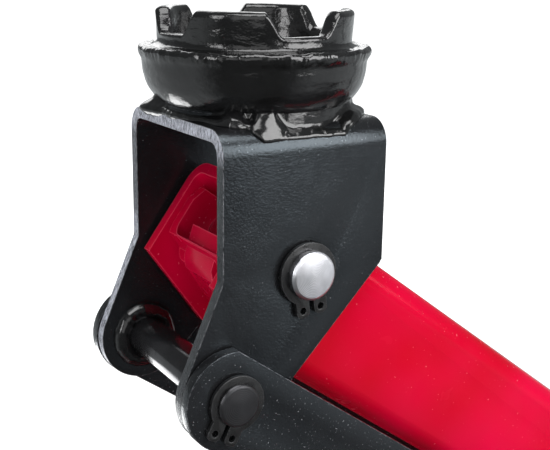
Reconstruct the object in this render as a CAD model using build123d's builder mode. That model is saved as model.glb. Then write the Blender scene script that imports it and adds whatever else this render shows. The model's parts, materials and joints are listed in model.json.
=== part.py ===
"""Hydraulic trolley jack, in millimetres: +X towards the saddle end, +Y its left side, +Z up.

The origin is on the floor under the middle of the jack's overall length.
The jack stands with its lift arm part-way up and its handle leaning back.
"""
from build123d import *
from math import cos, radians, sin
import os

# ---- driving dimensions -------------------------------------------------------------------
plate = 4.0  # pressed steel plate of the arm, bracket and frame
running = 0.06  # radial clearance where a pin turns in a hole
gap = 0.4  # side gap between pieces that move past each other

# lift geometry, with x measured from the main pivot
pivot_x = 72.06  # main pivot ahead of the origin
pivot_z = 120.0
arm_length = 300.0  # main pivot to upper pin
arm_angle = 36.1  # arm above horizontal as modelled
lever_radius = 65.0
lever_angle = 27.5  # arm angle at which the lever hangs straight down

# head, measured from the upper pin
bracket_half = 33.5
bracket_front = 29.7
bracket_back = -30.0
bracket_top = 47.0
back_corner = 4.0  # corner radii where the bracket's upright edges end
front_corner = 2.0
lower_pin_at = (28.0, -36.4)
lobe_radius = 16.3
upper_pin_radius = 8.0
lower_pin_radius = 7.0
stem_radius = 12.0

# arm section
arm_half = 26.5
arm_top = 17.2
arm_bottom = -31.0
nose_bottom = -19.6
bend = 8.0

# frame
side_inner = 50.0
side_outer = side_inner + plate
flange_outer = side_outer + 10.0
axle_at = (380.0, 40.0)
axle_radius = 10.0
shaft_radius = 12.0
wheel_radius = 40.0
wheel_inner = 68.0
wheel_outer = 98.0
caster_at = (-262.0, 104.0)  # swivel axis: x from the pivot, y
caster_radius = 22.0
caster_trail = 16.0
wing_z = 60.0
cross_back_x = -286.0  # rear cross plate, from the pivot
cross_front_x = -238.0
cross_slot_x = -246.0  # front end of its slot in the side plates
fork_half = 16.0
fork_gap = 12.0
kingpin_radius = 6.0

# hydraulics
ram_z = 60.0
block_front = -172.0
block_back = -243.0
gland_front = -66.0
ram_radius = 12.0
cylinder_bore = 20.0  # radius
cylinder_outer = 26.0
plunger_y = -24.0
plunger_z = 84.0

# handle
socket_at = (-270.0, 112.0)
handle_angle = 60.0
valve_angle = 52.0
handle_radius = 16.0
handle_end = 560.0


sides = (1, -1)  # left, right


# ---- planes -------------------------------------------------------------------------------
def side_plane(y):
    """Upright plane at y: local x is forward from the main pivot, local y is height."""
    return Plane(origin=(pivot_x, y, 0), x_dir=(1, 0, 0), z_dir=(0, -1, 0))


def arm_plane(y):
    """Side plane of the arm: local x runs along the arm from the main pivot."""
    a = radians(arm_angle)
    return Plane(origin=(pivot_x, y, pivot_z), x_dir=(cos(a), 0, sin(a)), z_dir=(0, -1, 0))


arm_tip = arm_plane(0).from_local_coords((arm_length, 0, 0))
head_x, head_z = arm_tip.X, arm_tip.Z


def head_plane(y):
    """Side plane of the head: the local origin is the upper pin."""
    return Plane(origin=(head_x, y, head_z), x_dir=(1, 0, 0), z_dir=(0, -1, 0))


def link_plane(y):
    """Side plane of a link bar: the local origin is the lower pin, x runs along the bar."""
    a = radians(arm_angle)
    start = (head_x + lower_pin_at[0], y, head_z + lower_pin_at[1])
    return Plane(origin=start, x_dir=(cos(a), 0, sin(a)), z_dir=(0, -1, 0))


def handle_plane(y):
    """Side plane of the handle: the local origin is its pivot, x runs up the handle."""
    a = radians(180 - handle_angle)
    start = (pivot_x + socket_at[0], y, socket_at[1])
    return Plane(origin=start, x_dir=(cos(a), 0, sin(a)), z_dir=(0, -1, 0))


def valve_plane(y):
    """Side plane of the release valve: x runs from the pump block up to the handle pivot."""
    a = radians(180 - valve_angle)
    start = (pivot_x + socket_at[0], y, socket_at[1])
    return Plane(origin=start, x_dir=(cos(a), 0, sin(a)), z_dir=(0, -1, 0))


def across(plane_at, distance):
    """Plane square to a side plane's x direction, at a distance along it.

    Its local x points to the jack's left, and its local y up from the side plane's x axis.
    """
    flat = plane_at(0)
    start = flat.from_local_coords((distance, 0, 0))
    return Plane(origin=start, x_dir=(0, 1, 0), z_dir=flat.x_dir)


def write(piece, label):
    piece.part.label = label
    export_step(piece.part, f"parts/{label}.step")


os.makedirs("parts", exist_ok=True)


def cylinder(plane_at, spot, radius, y_low, y_high, mode=Mode.ADD):
    """Round bar across the jack between two y values, in the part being built."""
    with BuildSketch(plane_at(y_high)) as disc:
        with Locations(spot):
            Circle(radius)
    extrude(disc.sketch, amount=y_high - y_low, mode=mode)


def both_sides(plane_at, spot, radius, y_low, y_high, mode=Mode.ADD):
    """The same round bar on the left and on the right."""
    cylinder(plane_at, spot, radius, y_low, y_high, mode)
    cylinder(plane_at, spot, radius, -y_high, -y_low, mode)


def rod(plane_at, low, high, radius, y=0.0, height=0.0, mode=Mode.ADD):
    """Round bar along a side plane's x direction, between two distances."""
    with BuildSketch(across(plane_at, low)) as disc:
        with Locations((y, height)):
            Circle(radius)
    extrude(disc.sketch, amount=high - low, mode=mode)


def rounded_plate(plane_at, circles, y_low, y_high, mode=Mode.ADD):
    """Flat plate whose outline wraps tightly round some (x, height, radius) circles."""
    with BuildSketch(plane_at(y_high)) as outline:
        for x, height, radius in circles:
            with Locations((x, height)):
                Circle(radius)
        make_hull()
    extrude(outline.sketch, amount=y_high - y_low, mode=mode)


def bent_plate(plane_at, points, y_low, y_high, mode=Mode.ADD):
    """Straight-sided plate between two y values."""
    with BuildSketch(plane_at(y_high)) as outline:
        with BuildLine():
            Polyline(*points, close=True)
        make_face()
    extrude(outline.sketch, amount=y_high - y_low, mode=mode)


# ---- head ---------------------------------------------------------------------------------
with BuildPart() as saddle_bracket:
    with BuildSketch(head_plane(bracket_half)):
        # side plate: tapers from its full width at the upper pin to a lobe round the lower pin
        for spot, radius in (
            ((bracket_back + back_corner, 1.5), back_corner),
            ((bracket_front - front_corner, 0.3), front_corner),
            (lower_pin_at, lobe_radius),
        ):
            with Locations(spot):
                Circle(radius)
        make_hull()
        with Locations(((bracket_front + bracket_back) / 2, bracket_top / 2)):
            Rectangle(bracket_front - bracket_back, bracket_top)
    extrude(amount=2 * bracket_half)
    top_edges = saddle_bracket.faces().sort_by(Axis.Z)[-1].edges().filter_by(Axis.X)
    fillet(top_edges, bend)
    # the hollow between the two side plates, under the bent top
    hollow = 120.0
    with BuildSketch(Plane.YZ.offset(head_x - hollow / 2)):
        inside = 2 * (bracket_half - plate)
        with Locations((0, head_z + bracket_top - plate - hollow / 2)):
            RectangleRounded(inside, hollow, bend - plate)
    extrude(amount=hollow, mode=Mode.SUBTRACT)
    cylinder(head_plane, (0, 0), upper_pin_radius, -bracket_half, bracket_half, Mode.SUBTRACT)
    cylinder(head_plane, lower_pin_at, lower_pin_radius, -bracket_half, bracket_half, Mode.SUBTRACT)
    with BuildSketch(Plane.XY.offset(head_z + bracket_top - 2 * plate)):
        with Locations((head_x, 0)):
            Circle(stem_radius + running)
    extrude(amount=3 * plate, mode=Mode.SUBTRACT)
write(saddle_bracket, "saddle_bracket")


saddle_axis = Axis((head_x, 0, head_z), (0, 0, 1))
boss_outline = [
    (14, bracket_top), (29.5, bracket_top), (28.8, 50.0), (26.2, 48.45), (21.2, 47.4), (14, 47.4),
]
with BuildPart() as saddle_boss:
    with BuildSketch(head_plane(0)):
        with BuildLine():
            Polyline(*boss_outline, close=True)
        make_face()
    revolve(axis=saddle_axis)
write(saddle_boss, "saddle_boss")

crown_inner = 26.3
crown_outer = 31.2
crown_foot = 73.8
crown_top = 80.8
seat_height = 64.0
lug_count = 4
lug_turn = 45.5  # middle of the first lug, from +X towards +Y, in degrees
gap_width = 34.0  # degrees between two lugs at their foot
gap_flare = 20.0  # slope of a lug's sides from upright, in degrees
ring_z = 40.6  # retaining ring on the stem, under the bracket's top

with BuildPart() as saddle:
    with BuildSketch(head_plane(0)):
        with BuildLine():
            Polyline((0, 38), (stem_radius, 38), (stem_radius, 47.8), (21, 47.8))
            Spline((21, 47.8), (26.5, 49), (31.2, 51.8), (34.6, 56), (36.5, 61.3), (37.3, 65))
            Spline((37.3, 65), (38.3, 67.6), (37.6, 69.8), (35.6, 69.6), (33.6, 68.6))
            Polyline((33.6, 68.6), (crown_outer, 70.4), (crown_outer + 1.3, crown_top))
            Polyline((crown_outer + 1.3, crown_top), (crown_inner + 1.2, crown_top))
            Polyline((crown_inner + 1.2, crown_top), (crown_inner, 70), (23.5, seat_height))
            Polyline((23.5, seat_height), (0, seat_height), (0, 38))
        make_face()
    revolve(axis=saddle_axis)
    # the gaps between the crown's lugs, wider at the top than at the foot
    foot = radians(gap_width / 2)
    reach = 50.0
    with BuildSketch(Plane.XY.offset(head_z + crown_foot)):
        with Locations((head_x, 0)):
            with PolarLocations(0, lug_count, start_angle=lug_turn + 180 / lug_count):
                Polygon((0, 0), (reach * cos(foot), -reach * sin(foot)),
                        (reach * cos(foot), reach * sin(foot)), align=None)
    extrude(amount=crown_top - crown_foot + 1, taper=-gap_flare, mode=Mode.SUBTRACT)
write(saddle, "saddle")

with BuildPart() as saddle_ring:
    with BuildSketch(Plane.XY.offset(head_z + ring_z)):
        with Locations((head_x, 0)):
            Circle(16)
            Circle(stem_radius, mode=Mode.SUBTRACT)
        with Locations((head_x + 15, 0)):
            Rectangle(8, 5, mode=Mode.SUBTRACT)
    extrude(amount=1.8)
write(saddle_ring, "saddle_ring")


groove_depth = 0.8


def grooved_pin(name, plane_at, spot, radius, half_length, groove_low, groove_high, chamfer_size=1.0):
    """A straight chamfered pin across the jack, with a ring groove near each end."""
    with BuildPart() as piece:
        cylinder(plane_at, spot, radius, -half_length, half_length)
        chamfer(piece.edges().filter_by(GeomType.CIRCLE), chamfer_size)
        both_sides(plane_at, spot, radius + 1, groove_low, groove_high, Mode.SUBTRACT)
        both_sides(plane_at, spot, radius - groove_depth, groove_low, groove_high)
    write(piece, name)


def add_circlips(plane_at, spot, radius, y_low, y_high, turn, ring=3.0, lug=4.6):
    """External circlips on both ends of a pin, each with two drilled lugs at its gap."""
    bore = radius - groove_depth + 0.1
    hole_at = radius + lug - 0.9
    apart = 3.3
    for side in sides:
        with BuildSketch(plane_at(y_high if side > 0 else -y_low)) as clip:
            with Locations(Location((spot[0], spot[1], 0), (0, 0, turn))):
                Circle(bore + ring)
                with Locations((radius + lug / 2 + 0.5, apart), (radius + lug / 2 + 0.5, -apart)):
                    RectangleRounded(lug + 2, 4.8, 1.8)
                with Locations((radius, 0)):
                    Rectangle(12, 1.8, mode=Mode.SUBTRACT)
                Circle(bore, mode=Mode.SUBTRACT)
                with Locations((hole_at, apart), (hole_at, -apart)):
                    Circle(1.15, mode=Mode.SUBTRACT)
        extrude(clip.sketch, amount=y_high - y_low)


grooved_pin("upper_pin", head_plane, (0, 0), upper_pin_radius, 39.0, 34.0, 35.6)
grooved_pin("lower_pin", head_plane, lower_pin_at, lower_pin_radius, 41.8, 38.7, 40.2, 0.7)
with BuildPart() as head_pin_clips:
    add_circlips(head_plane, (0, 0), upper_pin_radius, 34.1, 35.5, -97)
    add_circlips(head_plane, lower_pin_at, lower_pin_radius, 38.75, 40.15, -62)
write(head_pin_clips, "head_pin_clips")

# ---- link bars ----------------------------------------------------------------------------
link_inner = 34.2
link_outer = link_inner + plate
link_rise = 14.2
link_drop = 15.6
link_end = 16.6


def link_bar(name, y_high):
    """Flat bar from the lower pin back to the frame, its upper edge nearer the pins."""
    with BuildPart() as piece:
        with BuildSketch(link_plane(y_high)):
            with Locations((0, 0), (-arm_length, 0)):
                Circle(link_end)
            with Locations((-arm_length / 2, (link_rise - link_drop) / 2)):
                Rectangle(arm_length, link_rise + link_drop)
            # the round ends are cut flush with the straight upper edge
            with Locations((-arm_length / 2, link_rise + 10)):
                Rectangle(arm_length + 60, 20, mode=Mode.SUBTRACT)
            with Locations((0, 0), (-arm_length, 0)):
                Circle(lower_pin_radius + running, mode=Mode.SUBTRACT)
        extrude(amount=link_outer - link_inner)
    write(piece, name)


link_bar("link_bar_left", link_outer)
link_bar("link_bar_right", -link_inner)

# ---- lift arm -----------------------------------------------------------------------------
arm_inner = arm_half - plate
lever_lean = radians(lever_angle)
lever_pin_at = (-lever_radius * sin(lever_lean), -lever_radius * cos(lever_lean))
lever_pin_radius = 8.0
arm_end = (arm_length, 0)  # upper pin, in the arm's own plane
arm_front = arm_length + 21.5
lips_front = arm_length - 21.0
beam_back = 50.0
lip_gap = 24.0  # opening between the two lips under the beam


with BuildPart() as lift_arm:
    # rear beam: closed top, lips turned in below
    with BuildSketch(across(arm_plane, beam_back)):
        with Locations((0, (arm_top + arm_bottom) / 2)):
            RectangleRounded(2 * arm_half, arm_top - arm_bottom, bend)
            inside_height = arm_top - arm_bottom - 2 * plate
            RectangleRounded(2 * arm_inner, inside_height, bend - plate, mode=Mode.SUBTRACT)
        with Locations((0, arm_bottom)):
            Rectangle(lip_gap, 3 * plate, mode=Mode.SUBTRACT)
    extrude(amount=lips_front - beam_back)
    # nose: open below, its lower edge rising towards the front
    deep = 2 * (arm_top - arm_bottom)
    with BuildSketch(across(arm_plane, lips_front)):
        with Locations((0, arm_top - deep / 2)):
            RectangleRounded(2 * arm_half, deep, bend)
        with Locations((0, arm_top - plate - deep / 2)):
            RectangleRounded(2 * arm_inner, deep, bend - plate, mode=Mode.SUBTRACT)
        with Locations((0, arm_bottom - deep / 2)):
            Rectangle(deep, deep, mode=Mode.SUBTRACT)
    extrude(amount=arm_front - lips_front)
    nose_rise = [(lips_front + 8.5, arm_bottom), (arm_front, nose_bottom), (arm_front, arm_bottom)]
    bent_plate(arm_plane, nose_rise, -arm_half, arm_half, Mode.SUBTRACT)
    # ears round the main pivot, and the lever below them
    for y_high in (arm_half, -arm_inner):
        y_low = y_high - plate
        rounded_plate(arm_plane, [(0, 0, 30), (100, 1, 8), (100, -15, 8)], y_low, y_high)
        rounded_plate(arm_plane, [(0, 0, 26), (*lever_pin_at, 15)], y_low, y_high)
    cylinder(arm_plane, (0, 0), shaft_radius + running, -arm_half, arm_half, Mode.SUBTRACT)
    cylinder(arm_plane, lever_pin_at, lever_pin_radius, -arm_half, arm_half, Mode.SUBTRACT)
    cylinder(arm_plane, arm_end, upper_pin_radius + running, -arm_half, arm_half, Mode.SUBTRACT)
write(lift_arm, "lift_arm")

spacer_radius = 17.0  # spacers beside the arm and collars inside the wheels
with BuildPart() as arm_pivot_tube:
    cylinder(arm_plane, (0, 0), spacer_radius + 1, -arm_inner, arm_inner)
    cylinder(arm_plane, (0, 0), shaft_radius + running, -arm_inner, arm_inner, Mode.SUBTRACT)
write(arm_pivot_tube, "arm_pivot_tube")

# the channel nested in the arm's nose: two sides, a web under them and a lip at its front
channel_half = arm_inner - 0.2
channel_inner = channel_half - plate
channel_back = arm_length - 90
channel_kink = arm_length - 12
channel_front = arm_length + 19.4
web_front = arm_length + 12.7
web_drop = -26.0
web_slope = 21.0


def slope_plane(y):
    """Side plane along the channel's rising web, from its kink."""
    a = radians(arm_angle + web_slope)
    start = arm_plane(y).from_local_coords((channel_kink, web_drop, 0))
    return Plane(origin=start, x_dir=(cos(a), 0, sin(a)), z_dir=(0, -1, 0))


with BuildPart() as arm_channel:
    deep = 60.0
    for plane_at, low, high in ((arm_plane, channel_back, channel_kink + 1), (slope_plane, -2, 40)):
        floor = web_drop if plane_at is arm_plane else 0
        with BuildSketch(across(plane_at, low)) as section:
            with Locations((0, floor + deep / 2)):
                RectangleRounded(2 * channel_half, deep, bend)
            with Locations((0, floor + plate + deep / 2)):
                RectangleRounded(2 * channel_inner, deep, bend - plate, mode=Mode.SUBTRACT)
            with Locations((0, floor + deep)):
                Rectangle(deep, deep, mode=Mode.SUBTRACT)
        extrude(amount=high - low)
    # trim the top under the arm's skin, the front square, and a relief notch at the web
    top = arm_top - bend - 0.2
    outside = 80.0
    below = -60.0
    for corners in (
        [(channel_back - 1, top), (arm_front + outside, top), (arm_front + outside, top + outside),
         (channel_back - 1, top + outside)],
        [(channel_front, top + 1), (channel_front, below), (arm_front + outside, below),
         (arm_front + outside, top + 1)],
        [(web_front, -13), (channel_front + 1, -9.9), (channel_front + 1, below), (web_front, below)],
    ):
        bent_plate(arm_plane, corners, -arm_half, arm_half, Mode.SUBTRACT)
    lip = [(web_front - 1, -18), (web_front - 1, -12.5), (web_front + 3, -4), (web_front + 6.5, -4),
           (web_front + 3, -15), (web_front, -18)]
    bent_plate(arm_plane, lip, -10, 10)
    cylinder(arm_plane, arm_end, upper_pin_radius + running, -arm_half, arm_half, Mode.SUBTRACT)
write(arm_channel, "arm_channel")

grooved_pin("lever_pin", arm_plane, lever_pin_at, lever_pin_radius, 31.0, 27.2, 28.6)

with BuildPart() as lever_pin_clips:
    add_circlips(arm_plane, lever_pin_at, lever_pin_radius, 27.25, 28.55, 90)
write(lever_pin_clips, "lever_pin_clips")

# ---- frame --------------------------------------------------------------------------------
frame_outline = [
    (-302, 30), (-302, 108), (-290, 128), (-250, 128), (-205, 104), (-72, 106), (-34, 146),
    (34, 146), (120, 108), (300, 64), (402, 62), (402, 18), (-170, 18), (-200, 30),
]
frame_corners = 9.0
mounting_spots = ((-225, 45), (-187, 45), (-187, 76))  # bolts that hold the pump block
mounting_radius = 6.0
bolt_radius = 7.0  # shoulder bolts that carry the link bars and the handle socket
bolt_head = 11.0  # from the middle of its hexagon to a corner
link_pivot_at = (lower_pin_at[0], pivot_z + lower_pin_at[1])


def side_frame(name, y_low, y_high, rim_low, rim_high):
    """Pressed side plate: a web with a rim all round that turns outwards."""
    with BuildPart() as piece:
        for low, high, inset, mode in (
            (y_low, y_high, 0, Mode.ADD),
            (rim_low, rim_high, plate, Mode.SUBTRACT),
        ):
            with BuildSketch(side_plane(high)) as outline:
                with BuildLine():
                    Polyline(*frame_outline, close=True)
                make_face()
                fillet(outline.vertices(), frame_corners)
                if inset:
                    offset(amount=-inset, mode=Mode.REPLACE)
            extrude(amount=high - low, mode=mode)
        for spot, radius in (
            (axle_at, axle_radius), ((0, pivot_z), shaft_radius), (link_pivot_at, bolt_radius),
            (socket_at, bolt_radius), *((spot, mounting_radius) for spot in mounting_spots),
        ):
            cylinder(side_plane, spot, radius, y_low, y_high, Mode.SUBTRACT)
        slot_top = wing_z + plate
        slot = [(cross_back_x, wing_z), (cross_slot_x, wing_z), (cross_slot_x, slot_top),
                (cross_back_x, slot_top)]
        bent_plate(side_plane, slot, y_low, y_high, Mode.SUBTRACT)
    write(piece, name)


side_frame("side_plate_left", side_inner, flange_outer, side_outer, flange_outer)
side_frame("side_plate_right", -flange_outer, -side_inner, -flange_outer, -side_outer)

cross_tube_at = (338.0, 32.0)
with BuildPart() as front_cross_tube:
    cylinder(side_plane, cross_tube_at, 10, -side_inner, side_inner)
    cylinder(side_plane, cross_tube_at, 7.5, -side_inner, side_inner, Mode.SUBTRACT)
write(front_cross_tube, "front_cross_tube")

axle_half = 104.0
with BuildPart() as front_axle:
    cylinder(side_plane, axle_at, axle_radius, -axle_half, axle_half)
    chamfer(front_axle.edges().filter_by(GeomType.CIRCLE), 1.2)
write(front_axle, "front_axle")

with BuildPart() as axle_collars:
    both_sides(side_plane, axle_at, spacer_radius, flange_outer + 0.5, wheel_inner - gap)
    both_sides(side_plane, axle_at, 15, wheel_outer + gap, wheel_outer + 2.4)
    both_sides(side_plane, axle_at, axle_radius, flange_outer, wheel_outer + 3, Mode.SUBTRACT)
write(axle_collars, "axle_collars")

grooved_pin("main_shaft", side_plane, (0, pivot_z), shaft_radius, 62.0, 55.0, 56.8, 1.5)

with BuildPart() as main_shaft_clips:
    add_circlips(side_plane, (0, pivot_z), shaft_radius, 55.05, 56.75, 90, 4.0)
write(main_shaft_clips, "main_shaft_clips")

with BuildPart() as shaft_spacers:
    both_sides(side_plane, (0, pivot_z), spacer_radius, arm_half + gap, side_inner)
    both_sides(side_plane, (0, pivot_z), shaft_radius, arm_half, side_inner, Mode.SUBTRACT)
write(shaft_spacers, "shaft_spacers")



def hex_heads(spot, corner, thickness):
    """Hexagon bolt heads on the outer faces of both side plates."""
    for side in sides:
        with BuildSketch(side_plane(side_outer + thickness if side > 0 else -side_outer)) as head:
            with Locations(spot):
                RegularPolygon(corner, 6)
        extrude(head.sketch, amount=thickness)


with BuildPart() as link_bolts:
    both_sides(side_plane, link_pivot_at, bolt_radius, link_inner - 4.5, side_outer + 7)
    both_sides(side_plane, link_pivot_at, 12, link_outer + gap, side_inner)
    both_sides(side_plane, link_pivot_at, 11, link_inner - 3.2, link_inner - gap)
    hex_heads(link_pivot_at, bolt_head, 7)
write(link_bolts, "link_bolts")

wing_half = caster_at[1] + 22
wing_shoulder = wing_half - 6  # where the wing's corners are cut off
with BuildPart() as rear_cross_plate:
    # one plate through both side plates, with a wing over each caster
    with BuildSketch(Plane.XY.offset(wing_z)):
        back = pivot_x + cross_back_x
        front = pivot_x + cross_front_x
        slot_end = pivot_x + cross_slot_x
        for side in sides:
            with BuildLine():
                Polyline(
                    (back, 0), (back, side * wing_shoulder), (back + 12, side * wing_half),
                    (front - 8, side * wing_half), (front, side * wing_shoulder),
                    (front + 26, side * side_outer), (slot_end, side * side_outer), (slot_end, 0),
                    close=True,
                )
            make_face()
            with Locations((pivot_x + caster_at[0], side * caster_at[1])):
                Circle(kingpin_radius + 0.1, mode=Mode.SUBTRACT)
    extrude(amount=plate)
    flange_low = 36.0
    flange = [(cross_back_x, flange_low), (cross_back_x, wing_z), (cross_back_x + plate, wing_z),
              (cross_back_x + plate, flange_low)]
    bent_plate(side_plane, flange, -side_inner, side_inner)
write(rear_cross_plate, "rear_cross_plate")

cover_back = -206.0
cover_front = -70.0
cover_top = 101.0
cover_under = cover_top - 3
with BuildPart() as top_cover:
    cover = [(cover_back, cover_under), (cover_back, cover_top), (cover_front, cover_top),
             (cover_front, cover_under)]
    bent_plate(side_plane, cover, -side_inner, side_inner)
    skirt_low = 84.0
    skirt = [(cover_back, skirt_low), (cover_back, cover_under), (cover_front, cover_under),
             (cover_front, skirt_low)]
    bent_plate(side_plane, skirt, side_inner - 2.5, side_inner)
    bent_plate(side_plane, skirt, -side_inner, 2.5 - side_inner)
write(top_cover, "top_cover")


# ---- wheels -------------------------------------------------------------------------------
wheel_dish = 9.0
wheel_rim = 6.0
wheel_hub = 16.0


def front_wheel(name, y_low, y_high):
    """Cast steel wheel with a raised rim, a hub and a dished web."""
    with BuildPart() as piece:
        cylinder(side_plane, axle_at, wheel_radius, y_low, y_high)
        fillet(piece.edges().filter_by(GeomType.CIRCLE), 2.5)
        for low, high in ((y_low, y_low + wheel_dish), (y_high - wheel_dish, y_high)):
            cylinder(side_plane, axle_at, wheel_radius - wheel_rim, low, high, Mode.SUBTRACT)
            cylinder(side_plane, axle_at, wheel_hub, low, high)
        cylinder(side_plane, axle_at, axle_radius + running, y_low, y_high, Mode.SUBTRACT)
    write(piece, name)


front_wheel("front_wheel_left", wheel_inner, wheel_outer)
front_wheel("front_wheel_right", -wheel_outer, -wheel_inner)

caster_half = 10.0  # half the caster wheel's width
caster_axle = 4.0  # its axle's radius
fork_plate = 3.0


def caster(side, label):
    """Swivel caster: fork with its kingpin, wheel and wheel axle."""
    swivel_x = pivot_x + caster_at[0]
    y = side * caster_at[1]
    cheek_top = wing_z - gap - fork_plate
    hub = (caster_at[0] - caster_trail, caster_radius)
    with BuildPart() as fork:
        with BuildSketch(Plane.XY.offset(cheek_top)):
            with Locations((swivel_x, y)):
                Circle(19)
        extrude(amount=fork_plate)
        for low in (y - fork_half, y + fork_gap):
            high = low + fork_half - fork_gap
            with BuildSketch(side_plane(high)) as cheek:
                with Locations(hub):
                    Circle(8)
                with Locations((caster_at[0] - 3, cheek_top - 2)):
                    Rectangle(17, 4)
                make_hull()
            extrude(amount=high - low)
        with BuildSketch(Plane.XY.offset(wing_z - gap - 1)):
            with Locations((swivel_x, y)):
                Circle(kingpin_radius)
        extrude(amount=plate + 2 * gap + 4)
        with BuildSketch(Plane.XY.offset(wing_z + plate + gap)):
            with Locations((swivel_x, y)):
                Circle(9)
        extrude(amount=3)
        cylinder(side_plane, hub, caster_axle, y - fork_half, y + fork_half, Mode.SUBTRACT)
    write(fork, f"caster_fork_{label}")
    with BuildPart() as wheel:
        dish = 3.0
        cylinder(side_plane, hub, caster_radius, y - caster_half, y + caster_half)
        fillet(wheel.edges().filter_by(GeomType.CIRCLE), 3)
        for low in (y - caster_half, y + caster_half - dish):
            cylinder(side_plane, hub, 15, low, low + dish, Mode.SUBTRACT)
            cylinder(side_plane, hub, 8, low, low + dish)
        bore = caster_axle + running
        cylinder(side_plane, hub, bore, y - caster_half, y + caster_half, Mode.SUBTRACT)
    write(wheel, f"caster_wheel_{label}")
    with BuildPart() as axle:
        cylinder(side_plane, hub, caster_axle, y - fork_half - 1, y + fork_half + 1)
        cylinder(side_plane, hub, 6.5, y - fork_half - 4, y - fork_half)
        cylinder(side_plane, hub, 6.5, y + fork_half, y + fork_half + 4)
    write(axle, f"caster_axle_{label}")


caster(1, "left")
caster(-1, "right")

# ---- hydraulic unit -----------------------------------------------------------------------
block_half = 44.0
valve_reach = 48.0  # handle pivot to the block's sloped face
valve_radius = 7.0
plunger_radius = 6.0
gland_radius = 11.0
gland_end = block_back + 25.0
with BuildPart() as pump_block:
    block = [(block_front, 26), (block_front, 96), (-208, 96), (block_back, 70.5), (block_back, 26)]
    bent_plate(side_plane, block, -block_half, block_half)
    fillet(pump_block.edges().filter_by(Axis.Y), 3)
    # plunger bore, its counterbore for the gland, and the release valve's seat
    bore = plunger_radius + 0.1
    rod(side_plane, block_back - 1, block_front - 24, bore, plunger_y, plunger_z, Mode.SUBTRACT)
    rod(side_plane, block_back - 1, gland_end, gland_radius, plunger_y, plunger_z, Mode.SUBTRACT)
    seat = valve_radius + 0.1
    rod(valve_plane, -valve_reach - 25, -valve_reach + 14, seat, mode=Mode.SUBTRACT)
write(pump_block, "pump_block")

with BuildPart() as mounting_bolts:
    for spot in mounting_spots:
        both_sides(side_plane, spot, mounting_radius, block_half, side_outer + 1)
        hex_heads(spot, 9, 6)
write(mounting_bolts, "mounting_bolts")

reservoir_radius = 36.0
reservoir_wall = 2.5
reservoir_cap = 8.0
with BuildPart() as reservoir:
    rod(side_plane, block_front, gland_front, reservoir_radius, 0, ram_z)
    chamfer(reservoir.faces().sort_by(Axis.X)[-1].edges(), 2)
    oil_radius = reservoir_radius - reservoir_wall
    rod(side_plane, block_front, gland_front - reservoir_cap, oil_radius, 0, ram_z, Mode.SUBTRACT)
    rod(side_plane, block_front, gland_front, cylinder_outer, 0, ram_z, Mode.SUBTRACT)
write(reservoir, "reservoir")

with BuildPart() as ram_cylinder:
    rod(side_plane, block_front, gland_front, cylinder_outer, 0, ram_z)
    rod(side_plane, block_front, gland_front, cylinder_bore, 0, ram_z, Mode.SUBTRACT)
write(ram_cylinder, "ram_cylinder")

with BuildPart() as gland_nut:
    rod(side_plane, gland_front - 10, gland_front, cylinder_bore, 0, ram_z)
    with BuildSketch(across(side_plane, gland_front)) as hexagon:
        with Locations((0, ram_z)):
            RegularPolygon(22, 6)
    extrude(amount=5)
    rod(side_plane, gland_front - 11, gland_front + 6, ram_radius + running, 0, ram_z, Mode.SUBTRACT)
write(gland_nut, "gland_nut")

with BuildPart() as filler_plug:
    with BuildSketch(Plane.XY.offset(cover_top)):
        with Locations((pivot_x - 125, 0)):
            Circle(9)
    extrude(amount=5)
    fillet(filler_plug.edges().sort_by(Axis.Z)[-1], 2)
write(filler_plug, "filler_plug")

slack = 1.2  # the lever pin's clearance fore and aft in the crosshead slot
lever_turn = radians(arm_angle - lever_angle)
lever_pin_x = lever_radius * sin(lever_turn)
lever_pin_z = pivot_z - lever_radius * cos(lever_turn)
slot_low = pivot_z - lever_radius - lever_pin_radius - 1
full_swing = radians(30.5)  # the lever's largest angle from upright
slot_high = pivot_z - lever_radius * cos(full_swing) + lever_pin_radius + 1
cross_half = arm_inner - 2.0
cross_back = lever_pin_x - 20
neck_radius = 8.0  # reduced ends of the ram rod
neck_length = 7.0
piston_front = -106.0
piston_length = 16.0
piston_back = piston_front - piston_length
seal_low = piston_front - piston_length / 2 - 2
seal_high = seal_low + 4
seal_inner = cylinder_bore - 3
spring_bar_radius = 4.0
spring_y = 41.5
spring_z = 35.0
anchor_x = -162.0

with BuildPart() as crosshead:
    body = [(cross_back, 30), (cross_back, 84), (lever_pin_x + 20, 84), (lever_pin_x + 20, 30)]
    bent_plate(side_plane, body, -cross_half, cross_half)
    fillet(crosshead.edges().filter_by(Axis.Y), 4)
    with BuildSketch(side_plane(cross_half)):
        with Locations((lever_pin_x, (slot_low + slot_high) / 2)):
            slot_width = 2 * (lever_pin_radius + slack)
            SlotOverall(slot_high - slot_low + 2 * slack, slot_width, rotation=90)
    extrude(amount=2 * cross_half, mode=Mode.SUBTRACT)
    rod(side_plane, cross_back, cross_back + neck_length, neck_radius, 0, ram_z, Mode.SUBTRACT)
    bar_spot = (lever_pin_x, spring_z)
    cylinder(side_plane, bar_spot, spring_bar_radius, -cross_half, cross_half, Mode.SUBTRACT)
write(crosshead, "crosshead")

with BuildPart() as ram_rod:
    rod(side_plane, piston_front, cross_back, ram_radius, 0, ram_z)
    rod(side_plane, piston_back, piston_front, neck_radius, 0, ram_z)
    rod(side_plane, cross_back, cross_back + neck_length, neck_radius, 0, ram_z)
write(ram_rod, "ram_rod")

with BuildPart() as ram_piston:
    rod(side_plane, piston_back, piston_front, cylinder_bore - running, 0, ram_z)
    rod(side_plane, seal_low, seal_high, cylinder_bore + 1, 0, ram_z, Mode.SUBTRACT)
    rod(side_plane, seal_low, seal_high, seal_inner, 0, ram_z)
    rod(side_plane, piston_back, piston_front, neck_radius, 0, ram_z, Mode.SUBTRACT)
write(ram_piston, "ram_piston")

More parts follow.
